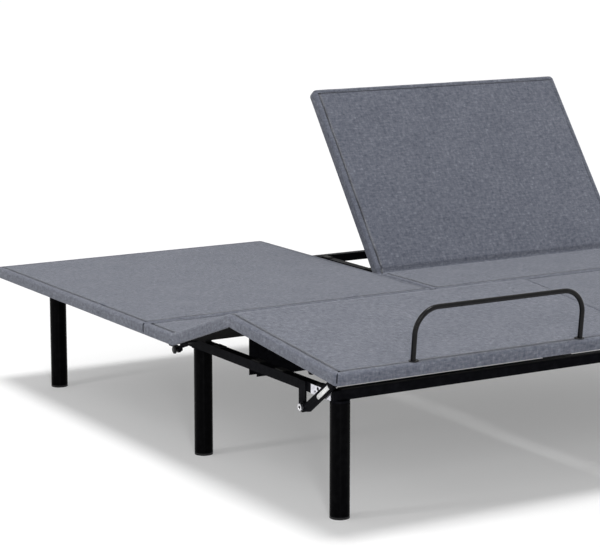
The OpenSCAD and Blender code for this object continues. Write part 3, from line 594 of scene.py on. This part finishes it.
HALF_GAP = 0.0005  # half the joint in the middle of the seat
for side in ("left", "right"):
    # the back and the rear half of the seat
    cloth = section(HALF_GAP, Y_HEAD, 0, [Y_BACK], [Y_BACK])
    cover(f"{side}_back_cover", side, cloth, back_place(side),
          [f"{side}_back_pad", f"{side}_seat_pads"])
    # the front half of the seat, the thigh and the foot, cut in two across the middle of the thigh
    cloth = section(Y_FOOT, -HALF_GAP, 1, [Y_THIGH, Y_KNEE], [Y_KNEE, Y_CUT, Y_THIGH])
    cover(f"{side}_seat_cover", side, picked(cloth, lambda y: y > Y_CUT), thigh_place(side),
          [f"{side}_seat_pads", f"{side}_thigh_pad"])
    cover(f"{side}_leg_cover", side, picked(cloth, lambda y: y <= Y_CUT), leg_place(side),
          [f"{side}_thigh_pad", f"{side}_foot_pad"])

# ---------------------------------------------------------------- the CAD nodes' finishes

# how far each finish rounds the edges of the solids
EDGE_WIDTHS = {"frame_steel": 0.0014, "leg_steel": 0.0008, "gloss_steel": 0.0005, "zinc_plate": 0.0005,
               "black_plastic": 0.0015, "deck_board": 0.0006, "drive_aluminium": 0.0006,
               "rod_steel": 0.0004, "buffer_rubber": 0.0006, "nylon": 0.0003}
for row in frame["record"]["subparts"]:
    o = frame["nodes"][row["node"]]
    if o.hide_render:
        continue
    slot = row["material_slot"]
    o.data.materials.clear()
    o.data.materials.append(MATERIALS[slot])
    rounding = o.modifiers.new("edges", "BEVEL")
    rounding.width = EDGE_WIDTHS[slot]
    rounding.segments = 2
    rounding.limit_method = "ANGLE"
    rounding.angle_limit = math.radians(40)
    rounding.harden_normals = False

# ---------------------------------------------------------------- fastenings, welds and small fittings

# where the solids are that the fittings sit on
Z_RAIL, Z_RAIL_TOP = 0.3025, 0.328  # underside and top of the rails
RAIL = 0.0255  # side of the rails' square tube
RAIL_OUT, RAIL_IN = 0.3825, 0.357  # a rail's outer and inner face, from the middle of its half
BARS = [-0.814, 0.020, 0.301, 0.834]  # the cross members' places along the bed
LEGS = [-0.814, -0.109, 0.834]
CRADLE_FRONT, CRADLE_REAR, CRADLE_TOP = -0.150, -0.1468, 0.320  # the drive cradle's plate
ARM_X, ARM_END = 0.130, 0.0073  # the cradle's arms, and where they meet the cross member
DRIVE_Z = 0.240  # height of the drives' rods
DRIVES = [(0.010, -0.125, 1), (0.090, 0.277, -1)]  # x of the rod, y of the rear pin, and the way it pushes
MOTOR_X = -0.055  # the motor's axis, from the rod
TUBE_ENDS = {1: 0.2274, -1: -0.1033}
BOX_X, BOX_Y = 0.0601, (0.0904, 0.2306)  # faces of the control box
BOX_SEAM, BOX_UNDER, SOCKET_Z = 0.304, 0.2930, 0.313
PANEL_TUBE, TUBE_X = 0.020, 0.215  # the tubes under the panels
# for each panel: the ends of its tubes, and its cross bars
PANELS = {"back": (0.352, 0.80125, (0.367, 0.78125)), "thigh": (-0.478, -0.189, (-0.455, -0.204)),
          "foot": (-0.78125, -0.514, (-0.76125, -0.537))}
BOARD_UNDER = 0.3309
HANGER_Y = (-0.700, -0.668)
PIVOT_X, PIVOT_Y, PIVOT_Z = 0.8875, -0.6935, 0.2624  # outer face of the foot link's pivot bolt
FOOT_BOLT = (0.9610, Y_KNEE - 0.394, 0.3300)
BAR_FOOT_X, BAR_FOOT_Y = 0.2485, Y_FOOT + 0.016  # feet of the retainer bar

# turned shapes, each ring (distance along the axis, radius)
MOTOR_RING = [(0, 0.0288), (0.0003, 0.0297), (0.0019, 0.0297), (0.0022, 0.0288)]
MOTOR_CAP = [(0, 0.0150), (0.0006, 0.0150), (0.0012, 0.0140), (0.0012, 0.0070), (0.0002, 0.0060)]
TUBE_COLLAR = [(0, 0.0178), (0.0006, 0.0190), (0.0098, 0.0190), (0.0110, 0.0180), (0.0112, 0.0176)]
SOCKET = [(0, 0.0066), (0.0022, 0.0066), (0.0028, 0.0060), (0.0028, 0.0046), (0.0004, 0.0042)]
# a thin black hexagon on the bolt's face: painted shade for the hollow of its socket
BOLT_SOCKET_SHADE = [(-0.0002, 0.0044), (0.0003, 0.0044), (0.0004, 0.0038)]
BOLT_RIM = [(-0.0003, 0.0084), (0.0003, 0.0078), (0.0004, 0.0052), (-0.0001, 0.0046)]
GROMMET = [(0, 0.0096), (0.0012, 0.0094), (0.0020, 0.0084), (0.0021, 0.0072), (0.0006, 0.0068)]

BEAD_GAP = 0.002  # how far a bead stops short of a rail's corners
BEAD_SINK = 0.0004  # how deep a bead along a flat face lies in it
BEAD_LOW, BEAD_HIGH = Z_RAIL + BEAD_GAP, Z_RAIL_TOP - BEAD_GAP
DOWN, UP, TO_FOOT = (0, 0, -1), (0, 0, 1), (0, -1, 0)
WAYS = (-1, 1)

FITTINGS = {}  # for each (body, finish): points, faces, and which faces are smooth


def put(body, slot, verts, faces, flat=False):
    """Adds faces to the fittings of a body that share a finish."""
    points, shapes, smooth_faces = FITTINGS.setdefault((body, slot), ([], [], []))
    at = len(points)
    points.extend([tuple(v) for v in verts])
    shapes.extend([[k + at for k in f] for f in faces])
    smooth_faces.extend([not flat] * len(faces))


def square_to(axis):
    """Two directions square to an axis and to each other."""
    side = axis.orthogonal().normalized()
    return side, axis.cross(side)


def skin(rings, count):
    """Faces over rings of count points, with both ends closed."""
    faces = []
    for j in range(rings - 1):
        for k in range(count):
            m = (k + 1) % count
            faces.append([j * count + k, j * count + m, (j + 1) * count + m, (j + 1) * count + k])
    faces.append(list(range(count))[::-1])
    faces.append([(rings - 1) * count + k for k in range(count)])
    return faces


def lathe(body, slot, at, axis, rings, count=16, flat=False):
    """A turned piece: rings are (distance along the axis, radius)."""
    axis = Vector(axis).normalized()
    side, up = square_to(axis)
    verts = []
    for d, r in rings:
        for k in range(count):
            a = 2 * math.pi * (k + 0.5) / count
            verts.append(Vector(at) + axis * d + (side * math.cos(a) + up * math.sin(a)) * r)
    put(body, slot, verts, skin(len(rings), count), flat)


def hex_bolt(body, slot, at, axis, r):
    """A washer and a hexagon head."""
    washer = [(-0.0005, 1.15 * r), (0.0009, 1.15 * r), (0.0012, 1.1 * r)]
    head = [(0, 0.86 * r), (0.0002, 0.92 * r), (0.55 * r, 0.92 * r), (0.68 * r, 0.74 * r)]
    head_at = Vector(at) + Vector(axis).normalized() * 0.0011
    lathe(body, slot, at, axis, washer, count=24)
    lathe(body, slot, head_at, axis, head, count=6, flat=True)


def pan_screw(body, slot, at, axis, r):
    """A low domed head with a round recess."""
    dome = [(-0.0004, r), (0.0002, r), (0.28 * r, 0.94 * r), (0.48 * r, 0.72 * r)]
    recess = [(0.56 * r, 0.42 * r), (0.53 * r, 0.34 * r), (0.22 * r, 0.30 * r)]
    lathe(body, slot, at, axis, dome + recess)


def weld(body, a, b, r=0.0016, slot="frame_steel"):
    """A weld bead from a to b with its ripples, sunk by half into the joint."""
    ripple_step, count = 0.0014, 7
    ripple, ripple_turn, uneven = 0.16, 2.1, 0.06
    blunt, taper = 0.35, 2.5 / 3  # how thick a bead starts, and how much it gains with each step
    a, b = Vector(a), Vector(b)
    length = (b - a).length
    steps = max(3, int(length / ripple_step))
    axis = (b - a).normalized()
    side, up = square_to(axis)
    verts = []
    for j in range(steps + 1):
        t = j / steps
        end = min(1.0, taper * min(t, 1 - t) * steps + blunt)
        swell = (1 + ripple * math.sin(j * ripple_turn) + uneven * random.uniform(-1, 1)) * end
        for k in range(count):
            q = 2 * math.pi * k / count
            verts.append(a + axis * (length * t) + (side * math.cos(q) + up * math.sin(q)) * r * swell)
    put(body, slot, verts, skin(steps + 1, count))


def upright_weld(x, y, high=BEAD_HIGH):
    """A bead up the side of a rail."""
    weld("root", (x, y, BEAD_LOW), (x, y, high))


def rest_place(body):
    """How a fitting drawn on the flat bed is brought to the photographed pose."""
    side, _, part = body.partition("_")
    back, thigh, knee = (Y_BACK, Z_HINGE), (Y_THIGH, Z_HINGE), (Y_KNEE, Z_HINGE)
    if part == "back":
        return lambda p: turn(p, back, BACK[side])
    if part == "thigh":
        return lambda p: turn(p, thigh, -KNEE[side])
    if part == "foot":
        return lambda p: turn(turn(p, knee, FOOT_RATIO * KNEE[side]), thigh, -KNEE[side])
    return lambda p: np.array(p, float)


def rail_welds(sign):
    """Where the cross members meet the side rail and the inner rail; the end ones are flush outside."""
    outer = sign * (HALF_X + RAIL_IN)
    inner = (HALF_X - RAIL_OUT, HALF_X - RAIL_IN)
    flush = ((BARS[0], -1), (BARS[-1], 1))
    for y in BARS:
        ways = [way for way in WAYS if (y, way) not in flush]
        for way in ways:
            upright_weld(outer, y + way * RAIL / 2)
        weld("root", (outer, y - RAIL / 2 + BEAD_GAP, Z_RAIL), (outer, y + RAIL / 2 - BEAD_GAP, Z_RAIL))
        for way in ways:
            face = y + way * RAIL / 2
            for x in inner:
                upright_weld(sign * x, face)
            start, end = sign * (inner[0] + BEAD_GAP), sign * (inner[1] - BEAD_GAP)
            weld("root", (start, face, Z_RAIL), (end, face, Z_RAIL))


def leg_plate_welds(sign):
    half_length, z = 0.014, Z_RAIL - BEAD_SINK
    for y in LEGS:
        for from_middle in (RAIL_IN, RAIL_OUT):
            x = sign * (HALF_X + from_middle)
            weld("root", (x, y - half_length, z), (x, y + half_length, z), r=0.0015)


def cradle_fittings(middle):
    """The drive cradle: bolts and screws in its face, and arms welded behind it."""
    bolt_x, bolt_heights, arm_bead = 0.180, (0.277, 0.295), 0.011
    screw_x, screw_z = 0.226, 0.236
    for way in WAYS:
        for z in bolt_heights:
            hex_bolt("root", "frame_steel", (middle + way * bolt_x, CRADLE_FRONT, z), TO_FOOT, r=0.0052)
    for way in WAYS:
        arm = middle + way * ARM_X
        for face in WAYS:
            x = arm + face * RAIL / 2
            upright_weld(x, CRADLE_REAR, CRADLE_TOP)
            upright_weld(x, ARM_END)
        weld("root", (arm - arm_bead, CRADLE_REAR, Z_RAIL), (arm + arm_bead, CRADLE_REAR, Z_RAIL))
    for way in WAYS:
        place = (middle + way * screw_x, CRADLE_FRONT, screw_z)
        pan_screw("root", "frame_steel", place, TO_FOOT, r=0.0045)


def gearbox_fittings(middle, rod_x, pin_y, push):
    """A drive's covers and motor: screws, raised rims, end rings and a cap."""
    screws_x, screws_y = (-0.077, 0.017, -0.030), (0.023, 0.071)
    screw_z, rim_z = 0.032, 0.0318
    rim = [(-0.080, 0.0195), (0.020, 0.0195), (0.020, 0.0745), (-0.080, 0.0745)]
    motor_rings, motor_end, cap_y = (0.080, 0.0835, 0.190, 0.1935), 0.1972, 0.2050
    end_screws, circle = 4, 0.023

    def at(x, y, z):
        return (middle + rod_x + push * x, pin_y + push * y, DRIVE_Z + z)

    along = (0, push, 0)
    for x in screws_x:
        for y in screws_y:
            pan_screw("root", "rod_steel", at(x, y, -screw_z), DOWN, r=0.0032)
            pan_screw("root", "rod_steel", at(x, y, screw_z), UP, r=0.0032)
    for z in (-rim_z, rim_z):
        for start, end in zip(rim, rim[1:] + rim[:1]):
            weld("root", at(*start, z), at(*end, z), r=0.0009, slot="black_plastic")
    for y in motor_rings:
        lathe("root", "black_plastic", at(MOTOR_X, y, 0), along, MOTOR_RING, count=40)
    for k in range(end_screws):
        q = math.radians(45 + 90 * k)
        place = at(MOTOR_X + circle * math.cos(q), motor_end, circle * math.sin(q))
        pan_screw("root", "rod_steel", place, along, r=0.0026)
    lathe("root", "black_plastic", at(MOTOR_X, cap_y, 0), along, MOTOR_CAP, count=24)


def tube_collar(middle, rod_x, push):
    from_end = 0.016
    y = TUBE_ENDS[push] - push * from_end
    lathe("root", "black_plastic", (middle + rod_x, y, DRIVE_Z), (0, push, 0), TUBE_COLLAR, count=32)


def control_box_fittings(middle):
    """The lid's screws and seam, and a row of sockets."""
    screw_in, corner = 0.0081, 0.0071
    sockets, socket_step, socket_out = 4, 0.024, 0.0001
    seam = {"r": 0.0008, "slot": "black_plastic"}
    near, far = BOX_Y
    for y in (near + screw_in, far - screw_in):
        for way in WAYS:
            x = middle + way * (BOX_X - screw_in)
            pan_screw("root", "rod_steel", (x, y, BOX_UNDER), DOWN, r=0.0033)
    for way in WAYS:
        x = middle + way * BOX_X
        weld("root", (x, near + corner, BOX_SEAM), (x, far - corner, BOX_SEAM), **seam)
    x0, x1 = middle - BOX_X + corner, middle + BOX_X - corner
    for y in BOX_Y:
        weld("root", (x0, y, BOX_SEAM), (x1, y, BOX_SEAM), **seam)
    for k in range(sockets):
        x = middle + socket_step * (k - (sockets - 1) / 2)
        lathe("root", "black_plastic", (x, near + socket_out, SOCKET_Z), TO_FOOT, SOCKET, count=24)


def panel_fittings(side, middle):
    """Screws through the panels' tubes into the boards, and the welds at their cross bars."""
    screw_step, gap, half, bead = 0.11, 0.0015, PANEL_TUBE / 2, 0.0013
    under = Z_DECK - PANEL_TUBE
    for part, (y0, y1, bars) in PANELS.items():
        body = f"{side}_{part}"
        count = max(2, round((y1 - y0) / screw_step))
        for way in WAYS:
            for k in range(count):
                y = y0 + (y1 - y0) * (k + 0.5) / count
                pan_screw(body, "frame_steel", (middle + way * TUBE_X, y, under), DOWN, r=0.0046)
            x = middle + way * (TUBE_X - half)
            for y in bars:
                for end in (-half, half):
                    weld(body, (x, y + end, under + gap), (x, y + end, Z_DECK - gap), r=bead)
                weld(body, (x, y - half + gap, under), (x, y + half - gap, under), r=bead)


def staple(body, middle, place, along):
    """One staple in a board's underside, a little out of line."""
    half_length, half_wire, depth, slant = 0.005, 0.0006, 0.0007, 0.12
    tilt = random.uniform(-slant, slant)
    c, s = math.cos(tilt), math.sin(tilt)
    leg = np.array([along[0] * c - along[1] * s, along[0] * s + along[1] * c])
    start, end = place - leg * half_length, place + leg * half_length
    wire = np.array([-leg[1], leg[0]]) * half_wire
    corners = (start - wire, end - wire, end + wire, start + wire)
    verts = [(middle + x, y, z) for z in (BOARD_UNDER, BOARD_UNDER - depth) for x, y in corners]
    sides = [[0, 4, 5, 1], [1, 5, 6, 2], [2, 6, 7, 3], [3, 7, 4, 0]]
    put(body, "rod_steel", verts, [[0, 1, 2, 3], [7, 6, 5, 4]] + sides, flat=True)


def staples(side, middle):
    """The staples that hold the cloth on the boards' undersides, but for where a cross member is."""
    inset, run_end, corner, step, clear = 0.0090, 0.02, 0.03, 0.042, 0.02
    off_hinge, off_back_hinge = 0.02, 0.030
    # each board: its body, where its long rows end, and the y of the row across its outer end
    boards = [(f"{side}_back", Y_BACK + off_back_hinge, Y_HEAD, Y_HEAD - inset),
              ("root", Y_THIGH + off_hinge, Y_BACK - off_hinge, None),
              (f"{side}_thigh", Y_KNEE + off_hinge, Y_THIGH - off_hinge, None),
              (f"{side}_foot", Y_FOOT, Y_KNEE - off_hinge, Y_FOOT + inset)]
    for body, y0, y1, outer_end in boards:
        xs = [way * (HALF_W - inset) for way in WAYS]
        runs = [((x, y0 + run_end), (x, y1 - run_end)) for x in xs]
        if outer_end is not None:
            runs.append(((-HALF_W + corner, outer_end), (HALF_W - corner, outer_end)))
        for start, end in runs:
            start, end = np.array(start), np.array(end)
            length = np.linalg.norm(end - start)
            along = (end - start) / length
            for k in range(int(length / step)):
                place = start + along * (step * (k + 0.5))
                if min(abs(place[1] - y) for y in BARS) >= clear:
                    staple(body, middle, place, along)


def foot_end_fittings(side, sign, middle):
    """Welds of the link's hanger, the pivot bolt's socket as a black hexagon of painted shade, the foot
    section's bolt and the bar's grommets.
    """
    foot = f"{side}_foot"
    top_bead_x, top_bead_gap, z = 0.0035, 0.0015, Z_RAIL_TOP - BEAD_SINK
    on_cloth = 0.0008
    x = middle + sign * RAIL_OUT
    for y in HANGER_Y:
        upright_weld(x, y)
    x += sign * top_bead_x
    weld("root", (x, HANGER_Y[0] + top_bead_gap, z), (x, HANGER_Y[1] - top_bead_gap, z), r=0.0012)
    pivot = (sign * PIVOT_X, PIVOT_Y, PIVOT_Z)
    # painted shade: a flat black hexagon for the socket's hollow
    lathe("root", "black_plastic", pivot, (sign, 0, 0), BOLT_SOCKET_SHADE, count=6, flat=True)
    lathe("root", "rod_steel", pivot, (sign, 0, 0), BOLT_RIM, count=24)
    hex_bolt(foot, "frame_steel", (sign * FOOT_BOLT[0], *FOOT_BOLT[1:]), DOWN, r=0.0075)
    for way in WAYS:
        place = (middle + way * BAR_FOOT_X, BAR_FOOT_Y, Z_TOP + on_cloth)
        lathe(foot, "black_plastic", place, UP, GROMMET, count=28)


for side, sign in SIDE.items():
    middle = sign * HALF_X
    rail_welds(sign)
    leg_plate_welds(sign)
    cradle_fittings(middle)
    for rod_x, pin_y, push in DRIVES:
        gearbox_fittings(middle, rod_x, pin_y, push)
    for rod_x, _, push in DRIVES:
        tube_collar(middle, rod_x, push)
    control_box_fittings(middle)
    panel_fittings(side, middle)
    staples(side, middle)
    foot_end_fittings(side, sign, middle)

for (body, slot), (verts, faces, smooth_faces) in FITTINGS.items():
    o = mesh_object(f"{body}_{slot}_fittings", rest_place(body)(np.array(verts)), faces, [slot])
    o.data.polygons.foreach_set("use_smooth", smooth_faces)
    o.data.set_sharp_from_angle(angle=math.radians(38))
    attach(o, body)

# ---------------------------------------------------------------- floor, lights, camera

FLOOR_REACH = 30
FLOOR_GREY = 0.76
LIFT = 0.25  # how much of white the floor adds for the rays that show the background
AMBIENT = 0.42
WHITE = (1, 1, 1, 1)


def background_rays(tree):
    """1 for the rays that show the background: seen directly, in metal or through glass."""
    path = tree.nodes.new("ShaderNodeLightPath")
    both = math_node(tree, "MAXIMUM", path.outputs["Is Camera Ray"], path.outputs["Is Glossy Ray"])
    return math_node(tree, "MAXIMUM", both, path.outputs["Is Transmission Ray"])


def light_colour(tree, strength):
    background = tree.nodes.new("ShaderNodeBackground")
    background.inputs[0].default_value = WHITE
    background.inputs[1].default_value = strength
    return background.outputs[0]


corners = [(-1, -1), (1, -1), (1, 1), (-1, 1)]
tree, paper = shader("floor_paper")
paper.inputs["Base Color"].default_value = (FLOOR_GREY, FLOOR_GREY, FLOOR_GREY, 1)
paper.inputs["Roughness"].default_value = 0.95
paper.inputs["Specular IOR Level"].default_value = 0.1
paper.inputs["Emission Color"].default_value = WHITE
lift = math_node(tree, "MULTIPLY", background_rays(tree), LIFT)
tree.links.new(lift, paper.inputs["Emission Strength"])
floor = mesh_object("floor", [(x * FLOOR_REACH, y * FLOOR_REACH, 0) for x, y in corners], [(0, 1, 2, 3)],
                    ["floor_paper"])

world = bpy.data.worlds.new("world")
bpy.context.scene.world = world
world.use_nodes = True
tree = world.node_tree
tree.nodes.clear()
choose = tree.nodes.new("ShaderNodeMixShader")
world_out = tree.nodes.new("ShaderNodeOutputWorld")
tree.links.new(background_rays(tree), choose.inputs[0])
tree.links.new(light_colour(tree, AMBIENT), choose.inputs[1])
tree.links.new(light_colour(tree, 1.0), choose.inputs[2])
tree.links.new(choose.outputs[0], world_out.inputs[0])


def lamp(name, kind, place, target, energy, **values):
    """A lamp at place that points at target."""
    data = bpy.data.lights.new(name, kind)
    data.energy = energy
    for key, value in values.items():
        setattr(data, key, value)
    o = bpy.data.objects.new(name, data)
    bpy.context.scene.collection.objects.link(o)
    o.location = place
    o.rotation_mode = "QUATERNION"
    o.rotation_quaternion = (Vector(target) - Vector(place)).to_track_quat("-Z", "Y")


lamp("overhead", "SUN", (0, -0.2, 5), (0, 0, 0), 1.86, angle=math.radians(17))
lamp("left_strip", "AREA", (-5.4, 0.1, 2.7), (-0.6, -0.2, 0.3), 36,
     shape="RECTANGLE", size=0.6, size_y=3.0)
lamp("front_streak", "AREA", (-3.3, -6.0, 0.85), (-0.8, -0.5, 0.15), 24,
     shape="RECTANGLE", size=0.16, size_y=1.5)
lamp("camera_strip", "AREA", (-3.6, -6.5, 3.6), (-0.6, -0.4, 0.3), 100,
     shape="RECTANGLE", size=0.8, size_y=3.4)

# the camera that was solved from the photograph
LENS, SENSOR = 128.892, 36  # mm
CAMERA_PLACE = (-3.5959, -5.1742, 1.569)
CAMERA_TURN, CAMERA_TILT = math.radians(31.17), math.radians(10.45)
lens = bpy.data.cameras.new("camera")
lens.lens = LENS
lens.sensor_width = SENSOR
lens.clip_end = 200
camera = bpy.data.objects.new("camera", lens)
bpy.context.scene.collection.objects.link(camera)
bpy.context.scene.camera = camera
look = Vector((math.sin(CAMERA_TURN) * math.cos(CAMERA_TILT), math.cos(CAMERA_TURN) * math.cos(CAMERA_TILT),
               -math.sin(CAMERA_TILT)))
camera.location = CAMERA_PLACE
camera.rotation_mode = "QUATERNION"
camera.rotation_quaternion = look.to_track_quat("-Z", "Y")

bpy.context.scene.view_settings.view_transform = "Standard"
